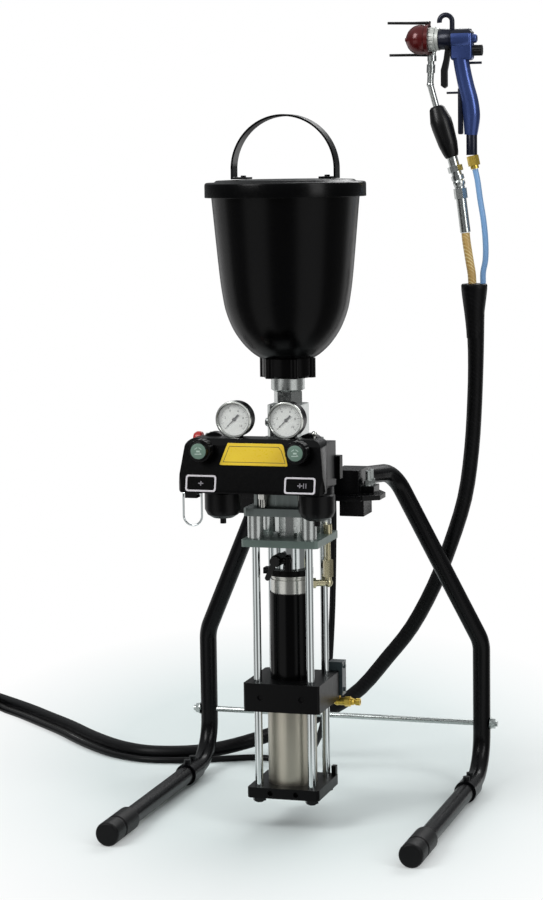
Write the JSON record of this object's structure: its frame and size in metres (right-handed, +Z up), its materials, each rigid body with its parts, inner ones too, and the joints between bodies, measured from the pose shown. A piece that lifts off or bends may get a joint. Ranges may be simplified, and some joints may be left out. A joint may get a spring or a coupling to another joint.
{
  "type": "airless paint sprayer",
  "caption": "Air-driven high-pressure paint pump hung on a bent-tube stand, with a gravity hopper, a regulator console and a spray gun on a sleeved hose bundle.",
  "frame": {"origin": "On the floor, at the middle of the stand's footprint", "axes": "+Z up, the console faces -Y, +X is the side that the gun hangs on; the feet run forward along -Y"},
  "size_m": [1.5337, 1.0249, 1.224],
  "materials": {
    "stand_paint": "satin black powder coat",
    "foot_rubber": "matt black moulded rubber",
    "zinc": "zinc plated",
    "anodised_black": "black anodised",
    "chrome_rod": "hard chromed",
    "air_tube": "clear anodised, warm grey",
    "steel": "turned stainless steel",
    "pilot_grey": "grey",
    "brass": "turned brass",
    "black_tube": "gloss black",
    "nickel": "nickel plated",
    "plate_green": "grey-green anodised",
    "return_brass": "nickelled brass",
    "black_plastic": "fine-grained black moulding",
    "yellow_plate": "yellow printed plate, left bare",
    "label_white": "white printed frame",
    "knob_green": "grey-green face, black body",
    "dial_white": "printed dial",
    "lens": "clear",
    "needle_black": "black",
    "button_red": "red",
    "wire": "plated wire",
    "hopper_black": "black moulded plastic",
    "gun_blue": "blue anodised",
    "cap_red": "red",
    "guard_black": "black",
    "sleeve_black": "black protective sleeve",
    "hose_gold": "gold jacket",
    "hose_blue": "blue polyurethane",
    "hose_black": "black"
  },
  "bodies": {
    "base": {"left_leg": "stand_paint", "right_leg": "stand_paint", "foot_caps": "foot_rubber", "foot_collars": "stand_paint", "cross_rod": "zinc", "stand_bracket": "stand_paint", "bracket_bolts": "zinc", "base_plate": "anodised_black", "tie_rods": "chrome_rod", "air_cylinder": "air_tube", "valve_block": "anodised_black", "pilot_box": "pilot_grey", "air_inlet": "brass", "hydraulic_cylinder": "black_tube", "cylinder_head": "nickel", "clamp_ring": "anodised_black", "inner_cylinder": "chrome_rod", "upper_plate": "plate_green", "spacer_columns": "steel", "fluid_block": "steel", "inlet_block": "steel", "outlet_fitting": "nickel", "side_pipe": "return_brass", "relief_valve": "anodised_black", "console_shell": "black_plastic", "console_bracket": "anodised_black", "console_fittings": "nickel", "front_plate": "yellow_plate", "label_frames": "label_white", "left_regulator": "black_plastic", "right_regulator": "black_plastic", "gauge_cases": "black_plastic", "gauge_dials": "dial_white", "gauge_lenses": "lens", "union_nut": "hopper_black", "hopper_bowl": "hopper_black", "gun_body": "gun_blue", "gun_ring": "nickel", "air_cap": "cap_red", "tip_guard": "guard_black", "filter_grip": "guard_black", "gun_fittings": "steel", "hose_sleeve": "sleeve_black", "sleeve_coil": "sleeve_black", "hose_coupling": "nickel", "lead_hose": "hose_black", "fluid_hose": "hose_gold", "air_hose": "hose_blue"},
    "piston": {"air_piston": "steel"},
    "relief": {"relief_lever": "black_plastic"},
    "left_knob_body": {"left_knob": "knob_green"},
    "right_knob_body": {"right_knob": "knob_green"},
    "left_needle_body": {"left_needle": "needle_black"},
    "right_needle_body": {"right_needle": "needle_black"},
    "button": {"stop_button": "button_red"},
    "hook": {"wire_hook": "wire"},
    "lid": {"hopper_lid": "hopper_black", "lid_handle": "hopper_black"},
    "trigger": {"gun_trigger": "guard_black"},
    "gun_knob_body": {"gun_knob": "guard_black"}
  },
  "joints": [
    {"name": "piston_stroke", "type": "slide", "parent": "base", "child": "piston", "axis": [0, 0, 1], "range_m": [0, 0.06]},
    {"name": "relief_turn", "type": "hinge", "parent": "base", "child": "relief", "pos_m": [-0.009, -0.1045, 0.41], "axis": [0, 1, 0], "range_deg": [0, 90]},
    {"name": "left_knob_turn", "type": "hinge", "parent": "base", "child": "left_knob_body", "pos_m": [-0.077, -0.24, 0.591], "axis": [0, 1, 0], "range_deg": [0, 900]},
    {"name": "right_knob_turn", "type": "hinge", "parent": "base", "child": "right_knob_body", "pos_m": [0.067, -0.24, 0.591], "axis": [0, 1, 0], "range_deg": [0, 900]},
    {"name": "left_needle_turn", "type": "hinge", "parent": "base", "child": "left_needle_body", "pos_m": [-0.039, -0.19, 0.632], "axis": [0, 1, 0], "range_deg": [0, 270]},
    {"name": "right_needle_turn", "type": "hinge", "parent": "base", "child": "right_needle_body", "pos_m": [0.039, -0.19, 0.632], "axis": [0, 1, 0], "range_deg": [0, 270]},
    {"name": "button_push", "type": "slide", "parent": "base", "child": "button", "axis": [1, 0, 0], "range_m": [0, 0.004], "stiffness_N_per_m": 400},
    {"name": "hook_swing", "type": "hinge", "parent": "base", "child": "hook", "pos_m": [-0.104, -0.2, 0.523], "axis": [1, 0, 0], "range_deg": [-75, 30]},
    {"name": "lid_lift", "type": "slide", "parent": "base", "child": "lid", "axis": [0, 0, 1], "range_m": [0, 0.12]},
    {"name": "trigger_pull", "type": "hinge", "parent": "base", "child": "trigger", "pos_m": [0.19, 0.2, 1.17], "axis": [0, -1, 0], "range_deg": [0, 15], "stiffness_Nm_per_rad": 2},
    {"name": "gun_knob_turn", "type": "hinge", "parent": "base", "child": "gun_knob_body", "pos_m": [0.23, 0.2, 1.165], "axis": [1, 0, 0], "range_deg": [0, 360]}
  ],
  "couplings": [
    {"joint": "left_needle_turn", "follows": "left_knob_turn", "ratio": 0.3},
    {"joint": "right_needle_turn", "follows": "right_knob_turn", "ratio": 0.3}
  ]
}
